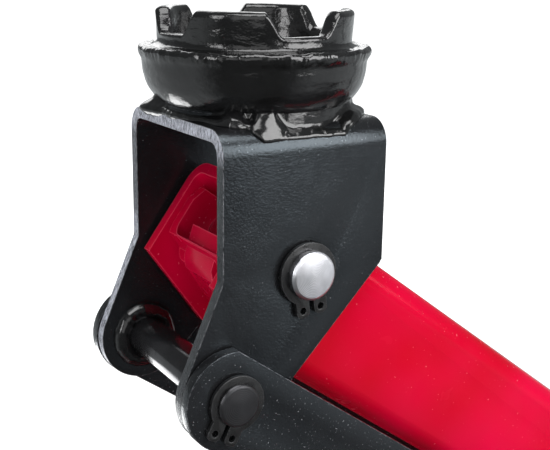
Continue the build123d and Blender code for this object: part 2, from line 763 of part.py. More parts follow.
with BuildPart() as piston_seal:
    rod(side_plane, seal_low, seal_high, cylinder_bore - 0.03, 0, ram_z)
    rod(side_plane, seal_low, seal_high, seal_inner, 0, ram_z, Mode.SUBTRACT)
write(piston_seal, "piston_seal")

with BuildPart() as spring_bar:
    cylinder(side_plane, bar_spot, spring_bar_radius, -47, 47)
write(spring_bar, "spring_bar")

with BuildPart() as spring_anchors:
    both_sides(side_plane, (anchor_x, spring_z), spring_bar_radius, 36, side_inner)
write(spring_anchors, "spring_anchors")

with BuildPart() as return_springs:
    for side in sides:
        rod(side_plane, anchor_x + 5, lever_pin_x - 5, 5.5, side * spring_y, spring_z)
write(return_springs, "return_springs")

# ---- pump and release valve ---------------------------------------------------------------
roller_drop = 28.0
roller_at = (socket_at[0], socket_at[1] - roller_drop)
roller_radius = 9.0
roller_pin_radius = 5.0
contact_x = roller_at[0] + roller_radius
with BuildPart() as pump_plunger:
    rod(side_plane, contact_x + gap, contact_x + 4, 9, plunger_y, plunger_z)
    rod(side_plane, contact_x + 4, block_front - 40, plunger_radius, plunger_y, plunger_z)
write(pump_plunger, "pump_plunger")

with BuildPart() as plunger_gland:
    gland_bore = plunger_radius + running
    rod(side_plane, block_back + 2, gland_end, gland_radius, plunger_y, plunger_z)
    rod(side_plane, block_back + 2, gland_end, gland_bore, plunger_y, plunger_z, Mode.SUBTRACT)
write(plunger_gland, "plunger_gland")

with BuildPart() as plunger_spring:
    spring_back = contact_x + 4.3
    spring_front = block_back + 1.7
    rod(side_plane, spring_back, spring_front, 8.5, plunger_y, plunger_z)
    rod(side_plane, spring_back, spring_front, 7, plunger_y, plunger_z, Mode.SUBTRACT)
write(plunger_spring, "plunger_spring")

with BuildPart() as release_valve:
    rod(valve_plane, -valve_reach - 14, -valve_reach + 10, valve_radius)
    rod(valve_plane, -valve_reach + 10, -2, 3.5)
    with Locations(valve_plane(0).location):
        Sphere(5)
    cylinder(valve_plane, (0, 0), 2, -9.6, 9.6)
write(release_valve, "release_valve")

# ---- handle -------------------------------------------------------------------------------
cheek_inner = 40.0
cheek_outer = 46.0
yoke_low = 36.0
yoke_high = 44.0
socket_top = 135.0
eye_radius = 15.0  # round the socket's pivot bolts
yoke_depth = 18.0
with BuildPart() as handle_socket:
    with BuildSketch(across(handle_plane, yoke_low)):
        RectangleRounded(2 * cheek_outer, 44, 4)
    extrude(amount=yoke_high - yoke_low)
    rod(handle_plane, yoke_high, socket_top, 21)
    for y_high in (cheek_outer, -cheek_inner):
        y_low = y_high - (cheek_outer - cheek_inner)
        cheek = [(0, 0, eye_radius), (yoke_low + 3, yoke_depth, 3), (yoke_low + 3, -yoke_depth, 3)]
        rounded_plate(handle_plane, cheek, y_low, y_high)
    # arm that carries the pump roller
    roller_arm = [(*socket_at, eye_radius), (*roller_at, roller_radius)]
    rounded_plate(side_plane, roller_arm, -cheek_outer, -cheek_inner)
    rod(handle_plane, yoke_low - 1, socket_top + 1, handle_radius + running, mode=Mode.SUBTRACT)
    cylinder(handle_plane, (0, 0), bolt_radius + running, -cheek_outer, cheek_outer, Mode.SUBTRACT)
    cylinder(side_plane, roller_at, roller_pin_radius, -cheek_outer, -cheek_inner, Mode.SUBTRACT)
write(handle_socket, "handle_socket")

with BuildPart() as socket_bolts:
    both_sides(side_plane, socket_at, bolt_radius, cheek_inner - 2, side_outer + 6)
    both_sides(side_plane, socket_at, 11, cheek_outer + gap, side_inner)
    hex_heads(socket_at, bolt_head, 6)
write(socket_bolts, "socket_bolts")

with BuildPart() as pump_roller:
    cylinder(side_plane, roller_at, roller_radius, plunger_y - 6, plunger_y + 6)
    bore = roller_pin_radius + 0.05
    cylinder(side_plane, roller_at, bore, plunger_y - 6, plunger_y + 6, Mode.SUBTRACT)
write(pump_roller, "pump_roller")

with BuildPart() as roller_pin:
    cylinder(side_plane, roller_at, roller_pin_radius, -cheek_outer, plunger_y + 7)
    cylinder(side_plane, roller_at, 7, plunger_y + 6.3, plunger_y + 9)
write(roller_pin, "roller_pin")

tube_low = 48.0
tube_joint = 330.0
tube_bore = 14.0
tube_end = handle_end - 6  # under the grip's closed end
grip_start = handle_end - 125
with BuildPart() as handle_tube_lower:
    rod(handle_plane, tube_low, tube_joint, handle_radius)
    rod(handle_plane, tube_low, tube_joint, tube_bore, mode=Mode.SUBTRACT)
write(handle_tube_lower, "handle_tube_lower")

with BuildPart() as handle_tube_upper:
    rod(handle_plane, tube_joint - 60, tube_end, tube_bore)
    rod(handle_plane, tube_joint - 60, tube_end, tube_bore - 2, mode=Mode.SUBTRACT)
write(handle_tube_upper, "handle_tube_upper")

with BuildPart() as handle_grip:
    rod(handle_plane, grip_start, handle_end, 18)
    fillet(handle_grip.edges().filter_by(GeomType.CIRCLE), 4)
    rod(handle_plane, grip_start, tube_end, tube_bore, mode=Mode.SUBTRACT)
write(handle_grip, "handle_grip")

with BuildPart() as tube_lock:
    with BuildSketch(handle_plane(-handle_radius)):
        with Locations((tube_joint - 22, 0)):
            Circle(4)
    extrude(amount=2.5)
write(tube_lock, "tube_lock")

cup_radius = 10.0
cup_top = 14.0
with BuildPart() as release_spindle:
    # slotted cup over the valve's ball and cross pin
    rod(handle_plane, -6, cup_top, cup_radius)
    rod(handle_plane, -6, 8, cup_radius - 3, mode=Mode.SUBTRACT)
    with BuildSketch(handle_plane(20)):
        with Locations((-1, 0)):
            Rectangle(12, 5)
    extrude(amount=40, mode=Mode.SUBTRACT)
    # stem up into the lower tube, with the plug that turns with it
    rod(handle_plane, cup_top, tube_low + 18, 6)
    rod(handle_plane, tube_low + 2, tube_low + 16, tube_bore)
write(release_spindle, "release_spindle")
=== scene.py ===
"""Looks of the hydraulic trolley jack: materials, welds, springs, grip and the forged saddle.

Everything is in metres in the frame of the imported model. Places come from the model's own boxes.
"""
import math
import json
import bmesh
import bpy
from mathutils import Matrix, Vector, noise


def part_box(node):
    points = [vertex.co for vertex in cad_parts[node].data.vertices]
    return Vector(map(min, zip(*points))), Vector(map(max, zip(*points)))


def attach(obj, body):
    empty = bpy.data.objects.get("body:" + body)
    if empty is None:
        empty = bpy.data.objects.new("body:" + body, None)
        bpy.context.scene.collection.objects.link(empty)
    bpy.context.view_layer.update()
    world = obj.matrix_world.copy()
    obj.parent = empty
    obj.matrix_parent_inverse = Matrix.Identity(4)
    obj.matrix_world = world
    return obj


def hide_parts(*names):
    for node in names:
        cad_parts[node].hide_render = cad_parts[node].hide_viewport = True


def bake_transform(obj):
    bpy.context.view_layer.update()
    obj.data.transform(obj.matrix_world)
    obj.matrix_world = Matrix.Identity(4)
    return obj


MM = 0.001
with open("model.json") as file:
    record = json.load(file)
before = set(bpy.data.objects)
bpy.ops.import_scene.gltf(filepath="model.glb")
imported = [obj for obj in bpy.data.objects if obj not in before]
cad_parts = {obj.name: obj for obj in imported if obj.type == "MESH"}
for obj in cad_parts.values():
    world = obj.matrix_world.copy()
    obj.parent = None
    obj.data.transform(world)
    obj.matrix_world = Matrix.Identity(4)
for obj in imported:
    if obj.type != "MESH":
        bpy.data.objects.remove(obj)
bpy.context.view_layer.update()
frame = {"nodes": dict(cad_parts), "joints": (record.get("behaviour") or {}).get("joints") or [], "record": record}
scene = bpy.context.scene


# ---- places worked out from the frame -------------------------------------------------------
def centre(node):
    """Middle of a node's box at rest."""
    low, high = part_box(node)
    return (low + high) / 2


def joint(name):
    """Record of a joint, found by its name."""
    return next(j for j in frame["joints"] if j["name"] == name)


HEAD = Vector(joint("bracket_level")["pos_m"])  # on the upper pin's axis, mid-plane
LOWER_PIN = centre("lower_pin")
SOCKET = Vector(joint("handle_pump")["pos_m"])  # where the handle's axis crosses its pivot
HANDLE_AXIS = Vector(joint("handle_twist")["axis"]).normalized()
CAMERA_AT = HEAD + Vector((168.23, 290.53, 96.77)) * MM
CAMERA_FORWARD = Vector((-0.50288, -0.82559, -0.25597))
CAMERA_UP = Vector((-0.12108, -0.22593, 0.96659))
CAMERA_LENS_MM = 66.44
SENSOR_MM = 36.0


# ---- shader graph helper --------------------------------------------------------------------
class Graph:
    """Builds one node material with short calls; sockets and plain values both work as inputs."""

    def __init__(self, name):
        self.material = bpy.data.materials.new(name)
        self.material.use_nodes = True
        self.tree = self.material.node_tree
        self.tree.nodes.clear()
        self.coords = self.node("ShaderNodeTexCoord")
        self.place = self.coords.outputs["Object"]

    def node(self, kind, settings=None, **inputs):
        made = self.tree.nodes.new(kind)
        for key, value in (settings or {}).items():
            setattr(made, key, value)
        for key, value in inputs.items():
            self.feed(made.inputs[key.replace("_", " ")], value)
        return made

    def feed(self, socket, value):
        if isinstance(value, bpy.types.NodeSocket):
            self.tree.links.new(value, socket)
        else:
            socket.default_value = value

    def math(self, operation, a, b=0.0, clamp=False):
        made = self.node("ShaderNodeMath", {"operation": operation, "use_clamp": clamp})
        self.feed(made.inputs[0], a)
        self.feed(made.inputs[1], b)
        return made.outputs[0]

    def vector(self, operation, a, b=(0, 0, 0)):
        made = self.node("ShaderNodeVectorMath", {"operation": operation})
        self.feed(made.inputs[0], a)
        self.feed(made.inputs[1], b)
        return made.outputs[1] if operation in ("LENGTH", "DOT_PRODUCT") else made.outputs[0]

    def noise(self, size_mm, detail=3.0, roughness=0.5, place=None):
        """Noise between about 0.3 and 0.7 whose features are size_mm across."""
        made = self.node(
            "ShaderNodeTexNoise",
            Vector=self.place if place is None else place,
            Scale=1.0 / (size_mm * MM),
            Detail=detail,
            Roughness=roughness,
        )
        return made.outputs["Fac"]

    def ramp(self, value, low, high, start=0.0, end=1.0):
        """Straight ramp of a value from low..high to start..end, held at both ends."""
        made = self.node("ShaderNodeMapRange", {"clamp": True})
        for index, number in enumerate((value, low, high, start, end)):
            self.feed(made.inputs[index], number)
        return made.outputs[0]

    def mix(self, share, a, b):
        made = self.node("ShaderNodeMix", {"data_type": "RGBA"})
        self.feed(made.inputs[0], share)
        self.feed(made.inputs[6], a)
        self.feed(made.inputs[7], b)
        return made.outputs[2]

    def bump(self, height, depth_mm, normal=None):
        made = self.node("ShaderNodeBump", Height=height, Distance=depth_mm * MM, Strength=1.0)
        if normal is not None:
            self.feed(made.inputs["Normal"], normal)
        return made.outputs["Normal"]

    def edge(self, radius_mm, spread=0.35):
        """Where the surface bends sharply outwards: 1 on an edge, 0 on a flat face."""
        bevel = self.node("ShaderNodeBevel", {"samples": 4}, Radius=radius_mm * MM)
        geometry = self.node("ShaderNodeNewGeometry")
        alike = self.vector("DOT_PRODUCT", bevel.outputs[0], geometry.outputs["Normal"])
        return self.ramp(alike, 1.0 - spread * 0.05, 1.0 - spread, 0.0, 1.0)

    def finish(self, **inputs):
        shader = self.node("ShaderNodeBsdfPrincipled", **inputs)
        out = self.node("ShaderNodeOutputMaterial")
        self.tree.links.new(shader.outputs[0], out.inputs["Surface"])
        return self.material


def grey(value, blue=0.0):
    """Neutral colour, or one with a little more blue."""
    return (value, value, value + blue, 1.0)


# ---- materials ------------------------------------------------------------------------------
def red_paint():
    """Glossy crimson with a faint orange peel; its rounded edges are painted lighter pink as a painted highlight.
    """
    g = Graph("red_paint")
    patch = g.noise(60, 2)
    base = g.mix(g.ramp(patch, 0.35, 0.65), (0.38, 0.0008, 0.010, 1), (0.49, 0.0011, 0.030, 1))
    # painted highlight: rounded edges lightened to pale pink where they would catch the light
    edge_wear_and_highlight = g.edge(0.8)
    base = g.mix(g.math("MULTIPLY", edge_wear_and_highlight, 0.7), base, (1.0, 0.13, 0.22, 1))
    dust = g.ramp(g.noise(1.1, 1), 0.74, 0.78)
    base = g.mix(g.math("MULTIPLY", dust, 0.35), base, (0.9, 0.25, 0.3, 1))
    rough = g.ramp(g.noise(9, 4), 0.3, 0.7, 0.16, 0.28)
    waves = g.bump(g.noise(2.2, 2), 0.035)
    waves = g.bump(g.noise(16, 2), 0.12, waves)
    return g.finish(
        Base_Color=base, Roughness=rough, Normal=waves,
        Specular_IOR_Level=0.18, Specular_Tint=(1.0, 0.05, 0.14, 1), Coat_Weight=0.02, Coat_Roughness=0.08,
    )


def satin_black(g, sheared=None):
    """Satin black sprayed over rolled plate: fine orange peel, faint dust, edges lightened for rubbing and as a
    painted highlight.

    sheared is 1 on faces cut by the press, which show drag marks; these are painted pale as a highlight only along
    the bent top and low down on the far side plate.
    """
    patch = g.noise(38, 3)
    base = g.mix(g.ramp(patch, 0.35, 0.65), grey(0.006, 0.0006), grey(0.010, 0.0008))
    peel = g.noise(0.75, 2, 0.6)
    if sheared is not None:
        drawn = g.vector("MULTIPLY", g.place, (1.0, 5.0, 0.55))
        drag = g.math("MULTIPLY", sheared, g.ramp(g.noise(1.6, 6, 0.8, drawn), 0.42, 0.60))
        place = g.node("ShaderNodeSeparateXYZ", Vector=g.place)
        upper = g.ramp(place.outputs["Z"], HEAD.z + 36 * MM, HEAD.z + 42 * MM, 0.03, 1.0)
        lower = g.ramp(place.outputs["Z"], HEAD.z + 12 * MM, HEAD.z + 3 * MM, 0.25, 1.0)
        # painted highlight: the pale drag marks are laid only along the bent top and low down on the far side
        # plate, where those sheared faces catch the light
        far = g.math("MULTIPLY", lower, g.ramp(place.outputs["Y"], -10 * MM, -28 * MM))
        pale = g.math("MAXIMUM", upper, far)
        base = g.mix(g.math("MULTIPLY", drag, pale), base, (0.84, 0.86, 0.98, 1))
    # edges lightened partly for rubbed paint and partly as a painted highlight, brighter on the sheared bracket
    edge_wear_and_highlight = g.math("MULTIPLY", g.edge(0.6), g.ramp(g.noise(1.3, 4, 0.7), 0.40, 0.58))
    base = g.mix(g.math("MULTIPLY", edge_wear_and_highlight, 0.8), base, grey(0.34 if sheared is None else 0.62, 0.03))
    dust = g.ramp(g.noise(0.5, 1), 0.74, 0.765)
    base = g.mix(g.math("MULTIPLY", dust, 0.5), base, grey(0.35, 0.02))
    rough = g.ramp(g.noise(5, 4), 0.3, 0.7, 0.16, 0.27)
    normal = g.bump(peel, 0.11)
    normal = g.bump(g.noise(5.0, 2), 0.035, normal)
    if sheared is not None:
        normal = g.bump(drag, 0.12, normal)
    return g.finish(
        Base_Color=base, Roughness=rough, Normal=normal, Specular_Tint=(0.76, 0.90, 1.0, 1),
        Coat_Weight=0.06, Coat_Roughness=0.15,
    )


def black_paint(name="black_paint"):
    """Satin black for parts without sheared faces."""
    return satin_black(Graph(name))


def bracket_paint():
    """Black plate whose front and rear edges were sheared."""
    g = Graph("bracket_paint")
    facing = g.node("ShaderNodeSeparateXYZ", Vector=g.coords.outputs["Normal"]).outputs["X"]
    return satin_black(g, g.ramp(g.math("ABSOLUTE", facing), 0.72, 0.9))


def gloss_black(name="gloss_black", grain_mm=3.5, depth=0.25):
    """Thick glossy black over a rough forging or a weld."""
    g = Graph(name)
    base = g.mix(g.ramp(g.noise(20, 3), 0.35, 0.65), grey(0.004), grey(0.007, 0.0005))
    # edges lightened partly for rubbed paint and partly as a painted highlight on the lug and rim edges
    edge_wear_and_highlight = g.math("MULTIPLY", g.edge(0.9), g.ramp(g.noise(2.5, 5, 0.7), 0.45, 0.6))
    base = g.mix(g.math("MULTIPLY", edge_wear_and_highlight, 0.4), base, grey(0.20, 0.01))
    rough = g.ramp(g.noise(4, 4), 0.3, 0.7, 0.08, 0.18)
    lumps = g.bump(g.noise(grain_mm, 3, 0.5, g.vector("MULTIPLY", g.place, (1.0, 1.0, 1.8))), depth)
    lumps = g.bump(g.noise(0.8, 2), 0.035, lumps)
    return g.finish(Base_Color=base, Roughness=rough, Normal=lumps, Coat_Weight=0.3, Coat_Roughness=0.06)


def turned(name, tone, axis_point, rough=(0.22, 0.36), pitch_mm=0.42, blue=0.03, metal=1.0):
    """Steel turned on a lathe: rings round a left-right axis on its ends, smoother on its shaft."""
    g = Graph(name)
    moved = g.vector("SUBTRACT", g.place, tuple(axis_point))
    flat = g.vector("MULTIPLY", moved, (1.0, 0.0, 1.0))
    radius = g.vector("LENGTH", flat)
    wobble = g.noise(1.5, 4, 0.6, g.vector("MULTIPLY", g.place, (0.2, 3.0, 0.2)))
    turns = g.math("DIVIDE", radius, pitch_mm * MM)
    rings = g.math("SINE", g.math("MULTIPLY", g.math("ADD", turns, wobble), 2 * math.pi))
    stain = g.ramp(g.noise(7, 4), 0.35, 0.7)
    base = g.mix(stain, grey(tone, blue), grey(tone * 0.72, blue * 0.6))
    facing = g.node("ShaderNodeSeparateXYZ", Vector=g.coords.outputs["Normal"]).outputs["Y"]
    on_end = g.ramp(g.math("ABSOLUTE", facing), 0.3, 0.7, 0.35, 1.0)
    shine = g.math("MULTIPLY", g.ramp(g.noise(4, 4), 0.3, 0.7, *rough), on_end)
    marks = g.bump(rings, 0.012)
    return g.finish(Base_Color=base, Metallic=metal, Roughness=shine, Normal=marks, Anisotropic=0.4)


def plain_steel(name, tone, rough, blue=0.0, streak_mm=1.2, grime=0.5):
    """Bright machined steel with fine streaks and patches of grime."""
    g = Graph(name)
    streaks = g.noise(streak_mm, 6, 0.7, g.vector("MULTIPLY", g.place, (0.3, 4.0, 4.0)))
    dirt = g.ramp(g.noise(14, 5, 0.6), 0.5, 0.72)
    base = g.mix(g.ramp(streaks, 0.3, 0.7), grey(tone, blue), grey(tone * 0.8, blue))
    base = g.mix(g.math("MULTIPLY", dirt, grime), base, grey(tone * 0.35))
    shine = g.ramp(streaks, 0.3, 0.7, rough, rough + 0.16)
    return g.finish(Base_Color=base, Metallic=1.0, Roughness=shine, Normal=g.bump(streaks, 0.01))


def black_oxide():
    """Blackened steel, oily, its edges rubbed to grey."""
    g = Graph("black_oxide")
    edge_wear_and_highlight = g.math("MULTIPLY", g.edge(0.5), g.ramp(g.noise(2.0, 5, 0.7), 0.35, 0.6))
    base = g.mix(g.ramp(g.noise(3.5, 5, 0.65), 0.3, 0.7), grey(0.006), grey(0.014, 0.001))
    base = g.mix(g.math("MULTIPLY", edge_wear_and_highlight, 0.5), base, grey(0.30, 0.02))
    rough = g.ramp(g.noise(2.2, 4), 0.3, 0.7, 0.22, 0.38)
    return g.finish(Base_Color=base, Metallic=0.15, Roughness=rough, Normal=g.bump(g.noise(0.7, 3), 0.03))


def rubber(name, tone):
    """Matt black rubber with a dusty bloom."""
    g = Graph(name)
    bloom = g.ramp(g.noise(12, 5, 0.65), 0.42, 0.7)
    base = g.mix(g.math("MULTIPLY", bloom, 0.5), grey(tone), grey(tone * 3.2))
    rough = g.ramp(g.noise(6, 3), 0.3, 0.7, 0.62, 0.85)
    return g.finish(Base_Color=base, Roughness=rough, Normal=g.bump(g.noise(0.6, 3, 0.7), 0.05))


def wheel_paint():
    """Black painted casting, its tread rubbed back to grey iron."""
    g = Graph("wheel_iron")
    wheel = joint("front_wheel_spin_left")["pos_m"]
    moved = g.vector("SUBTRACT", g.place, (wheel[0], 0.0, wheel[2]))
    radius = g.vector("LENGTH", g.vector("MULTIPLY", moved, (1.0, 0.0, 1.0)))
    rim = (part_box("front_wheel_left")[1].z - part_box("front_wheel_left")[0].z) / 2
    tread = g.ramp(radius, rim - 1.0 * MM, rim - 0.3 * MM)
    scuffs = g.noise(2.4, 6, 0.7, g.vector("MULTIPLY", g.place, (1.0, 0.35, 1.0)))
    wear = g.math("MULTIPLY", tread, g.ramp(scuffs, 0.36, 0.62))
    base = g.mix(wear, grey(0.016, 0.001), grey(0.22, 0.01))
    rough = g.ramp(g.noise(4, 4), 0.3, 0.7, 0.32, 0.5)
    cast = g.bump(g.noise(1.6, 3, 0.6), 0.09)
    return g.finish(Base_Color=base, Metallic=g.math("MULTIPLY", wear, 0.9), Roughness=rough, Normal=cast)


def chrome():
    """Hard chrome with faint oily smears."""
    g = Graph("hard_chrome")
    smear = g.noise(9, 4, 0.6)
    base = g.mix(g.ramp(smear, 0.4, 0.7), grey(0.82, 0.02), grey(0.62, 0.02))
    return g.finish(Base_Color=base, Metallic=1.0, Roughness=g.ramp(smear, 0.3, 0.7, 0.06, 0.16))


def studio_white():
    """Pale floor that glows to fill the background with white, glowing less close to the jack.

    In reflections it is painted dark close to the jack and on the camera's side, a painted reflection which gives
    glossy black parts their depth.
    """
    g = Graph("studio_white")
    path = g.node("ShaderNodeLightPath")
    away = g.vector("LENGTH", g.vector("MULTIPLY", g.place, (1.0, 1.0, 0.0)))
    beyond = g.vector("MAXIMUM", g.vector("SUBTRACT", g.vector("ABSOLUTE", g.place), (0.33, 0, 0)))
    beside = g.vector("LENGTH", g.vector("MULTIPLY", beyond, (3.5, 1.0, 0.0)))
    heading = g.vector("NORMALIZE", g.vector("MULTIPLY", g.vector("SUBTRACT", g.place, HEAD), (1, 1, 0)))
    towards = g.vector("DOT_PRODUCT", heading, (CAMERA_AT - HEAD).normalized())
    by_distance = g.ramp(beside, 0.22, 0.6, 0.012, 0.62)
    mirrored = g.math("MULTIPLY", by_distance, g.ramp(towards, 0.45, 0.78, 1.0, 0.16))
    backdrop = g.mix(g.ramp(away, 0.5, 1.5), grey(0.40), grey(1.0))
    glow = g.mix(path.outputs["Is Camera Ray"], grey(0.30), backdrop)
    matt = g.node("ShaderNodeBsdfDiffuse", Color=grey(0.9))
    lit = g.node("ShaderNodeEmission", Color=glow, Strength=1.0)
    seen = g.node("ShaderNodeAddShader")
    g.tree.links.new(matt.outputs[0], seen.inputs[0])
    g.tree.links.new(lit.outputs[0], seen.inputs[1])
    in_gloss = g.node("ShaderNodeEmission", Color=(0.93, 0.98, 1.0, 1), Strength=mirrored)
    both = g.node("ShaderNodeMixShader")
    g.feed(both.inputs[0], path.outputs["Is Glossy Ray"])
    g.tree.links.new(seen.outputs[0], both.inputs[1])
    g.tree.links.new(in_gloss.outputs[0], both.inputs[2])
    out = g.node("ShaderNodeOutputMaterial")
    g.tree.links.new(both.outputs[0], out.inputs["Surface"])
    return g.material


RED = red_paint()
BLACK = black_paint()
BRACKET = bracket_paint()
GLOSS = gloss_black()
OXIDE = black_oxide()
ZINC_PIN = turned("zinc_pin", 0.95, HEAD, (0.36, 0.50), 0.5, 0.05)
OXIDE_PIN = turned("oxide_pin", 0.055, LOWER_PIN, (0.3, 0.45), 0.6, 0.004, 0.8)
STEEL = plain_steel("bright_steel", 0.62, 0.26, 0.015)
ZINC = plain_steel("zinc_plate", 0.68, 0.3, 0.03)
SPRING = plain_steel("spring_wire", 0.30, 0.34, 0.0, 1.0, 0.7)
CHROME = chrome()
RUBBER = rubber("grip_rubber", 0.016)
TYRE = rubber("caster_tyre", 0.022)
WHEEL = wheel_paint()
TUBE = black_paint("handle_paint")

FINISH = {
    "red_paint": RED,
    "black_paint": BLACK,
    "black_gloss": GLOSS,
    "black_oxide": OXIDE,
    "bright_steel": STEEL,
    "hard_chrome": CHROME,
    "spring_steel": SPRING,
    "seal_rubber": RUBBER,
    "handle_paint": TUBE,
    "grip_rubber": RUBBER,
    "wheel_iron": WHEEL,
    "caster_zinc": ZINC,
    "caster_tyre": TYRE,
}
OWN_FINISH = {"saddle_bracket": BRACKET, "upper_pin": ZINC_PIN, "lower_pin": OXIDE_PIN}


# ---- rounding of the CAD pieces' edges ------------------------------------------------------
CRISP_ANGLE = math.radians(32)  # edges sharper than this aren't shaded smooth
BEVEL_ANGLE = math.radians(40)  # edges sharper than this get a rounding
FLAT_ANGLE = math.radians(0.6)  # faces that bend less than this are joined into one


def smooth_group():
    """Node group that shades smooth, and keeps sharp edges crisp."""
    group = bpy.data.node_groups.new("smooth_by_angle", "GeometryNodeTree")
    group.interface.new_socket("Geometry", in_out="INPUT", socket_type="NodeSocketGeometry")
    group.interface.new_socket("Geometry", in_out="OUTPUT", socket_type="NodeSocketGeometry")
    nodes, links = group.nodes, group.links
    start = nodes.new("NodeGroupInput")
    end = nodes.new("NodeGroupOutput")
    faces = nodes.new("GeometryNodeSetShadeSmooth")
    edges = nodes.new("GeometryNodeSetShadeSmooth")
    edges.domain = "EDGE"
    edges.inputs["Shade Smooth"].default_value = False
    angle = nodes.new("GeometryNodeInputMeshEdgeAngle")
    sharper = nodes.new("FunctionNodeCompare")
    sharper.data_type = "FLOAT"
    sharper.operation = "GREATER_THAN"
    sharper.inputs[1].default_value = CRISP_ANGLE
    links.new(start.outputs[0], faces.inputs["Geometry"])
    links.new(faces.outputs[0], edges.inputs["Geometry"])
    links.new(angle.outputs["Unsigned Angle"], sharper.inputs[0])
    links.new(sharper.outputs[0], edges.inputs["Selection"])
    links.new(edges.outputs[0], end.inputs[0])
    return group


SMOOTH = smooth_group()


def soften(piece, width_mm, segments=3):
    """Gives a CAD piece small rounded edges, without touching its own mesh."""
    weld = piece.modifiers.new("weld", "WELD")
    weld.merge_threshold = 1e-6
    flat = piece.modifiers.new("flat", "DECIMATE")
    flat.decimate_type = "DISSOLVE"
    flat.angle_limit = FLAT_ANGLE
    if width_mm:
        bevel = piece.modifiers.new("bevel", "BEVEL")
        bevel.width = width_mm * MM
        bevel.segments = segments
        bevel.limit_method = "ANGLE"
        bevel.angle_limit = BEVEL_ANGLE
        bevel.miter_outer = "MITER_ARC"
        bevel.harden_normals = False
    shade = piece.modifiers.new("shade", "NODES")
    shade.node_group = SMOOTH


EDGE_MM = {
    "saddle_bracket": 0.55, "lift_arm": 0.6, "arm_channel": 0.6, "link_bar_left": 0.5, "link_bar_right": 0.5,
    "side_plate_left": 0.8, "side_plate_right": 0.8, "rear_cross_plate": 0.7, "top_cover": 0.6,
    "pump_block": 0.8, "handle_socket": 0.9, "crosshead": 0.7, "front_wheel_left": 0.6,
    "front_wheel_right": 0.6, "head_pin_clips": 0.15, "main_shaft_clips": 0.2, "lever_pin_clips": 0.15,
}
slot_of = {s["node"]: s["material_slot"] for s in frame["record"]["subparts"]}
for node, piece in frame["nodes"].items():
    piece.data.materials.clear()
    piece.data.materials.append(OWN_FINISH.get(node, FINISH[slot_of[node]]))
    soften(piece, EDGE_MM.get(node, 0.3), 3 if node in EDGE_MM else 2)


# ---- mesh helpers ---------------------------------------------------------------------------
def tidy_normals(piece):
    """Turns every face of a closed piece outwards."""
    mesh = bmesh.new()
    mesh.from_mesh(piece.data)
    bmesh.ops.recalc_face_normals(mesh, faces=mesh.faces)
    mesh.to_mesh(piece.data)
    mesh.free()


def build(name, verts, faces, material, body):
    """Makes a mesh piece that rides on a body and takes a slot's finish."""
    mesh = bpy.data.meshes.new(name)
    mesh.from_pydata([tuple(v) for v in verts], [], faces)
    mesh.validate()
    mesh.shade_smooth()
    piece = bpy.data.objects.new(name, mesh)
    scene.collection.objects.link(piece)
    mesh.materials.append(material)
    if body:
        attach(piece, body)
    return piece


def grid_faces(rows, columns, wrap_rows=True, wrap_columns=True):
    """Quads of a grid whose vertices are stored row by row."""
    faces = []
    for i in range(rows if wrap_rows else rows - 1):
        for k in range(columns if wrap_columns else columns - 1):
            a, b = i * columns + k, i * columns + (k + 1) % columns
            c, d = ((i + 1) % rows) * columns + (k + 1) % columns, ((i + 1) % rows) * columns + k
            faces.append((a, b, c, d))
    return faces


def fillet_path(corners, steps=5):
    """Rounds the corners of an open path; each corner is (x, y, how far the rounding reaches)."""
    path = []
    for i, (x, y, reach) in enumerate(corners):
        here = Vector((x, y))
        if i in (0, len(corners) - 1) or reach <= 0:
            path.append(here)
            continue
        before = Vector(corners[i - 1][:2]) - here
        after = Vector(corners[i + 1][:2]) - here
        reach = min(reach, before.length * 0.48, after.length * 0.48)
        a, b = here + before.normalized() * reach, here + after.normalized() * reach
        for s in range(steps + 1):
            t = s / steps
            path.append(a * (1 - t) ** 2 + here * 2 * t * (1 - t) + b * t * t)
    return path


def lumps(point, size_mm, octaves=3, seed=0.0):
    """Smooth noise between about -1 and 1 whose bumps are size_mm across."""
    spot = point / (size_mm * MM) + Vector((seed, seed * 1.7, -seed))
    return noise.fractal(spot, 0.9, 2.1, octaves)


def step(value, low, high):
    """Smooth rise from 0 at low to 1 at high."""
    t = min(1.0, max(0.0, (value - low) / (high - low)))
    return t * t * (3 - 2 * t)


def resample_even(path, count):
    """The same number of points along any path, evenly spaced."""
    lengths = [0.0]
    for a, b in zip(path, path[1:]):
        lengths.append(lengths[-1] + (b - a).length)
    out, i = [], 0
    for s in range(count):
        want = lengths[-1] * s / (count - 1)
        while i < len(path) - 2 and lengths[i + 1] < want:
            i += 1
        span = max(1e-9, lengths[i + 1] - lengths[i])
        out.append(path[i].lerp(path[i + 1], min(1.0, (want - lengths[i]) / span)))
    return out


# ---- saddle ---------------------------------------------------------------------------------
SEAT = (frame["record"]["mounts"][0]["pos_m"][2] - HEAD.z) / MM  # seat floor above the upper pin
SADDLE_LOW, SADDLE_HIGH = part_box("saddle")
SADDLE_TOP = (SADDLE_HIGH.z - HEAD.z) / MM
LUG_TURN = math.radians(45.5)  # first lug's centre, from +X towards +Y
LUG_HALF = 25.5  # degrees
LUG_SLOPE = 6.0  # degrees either side of a lug's edge over which it rises
LIFTS = 40  # different outlines between a gap and a lug
SPOKES = 720
RINGS = 170


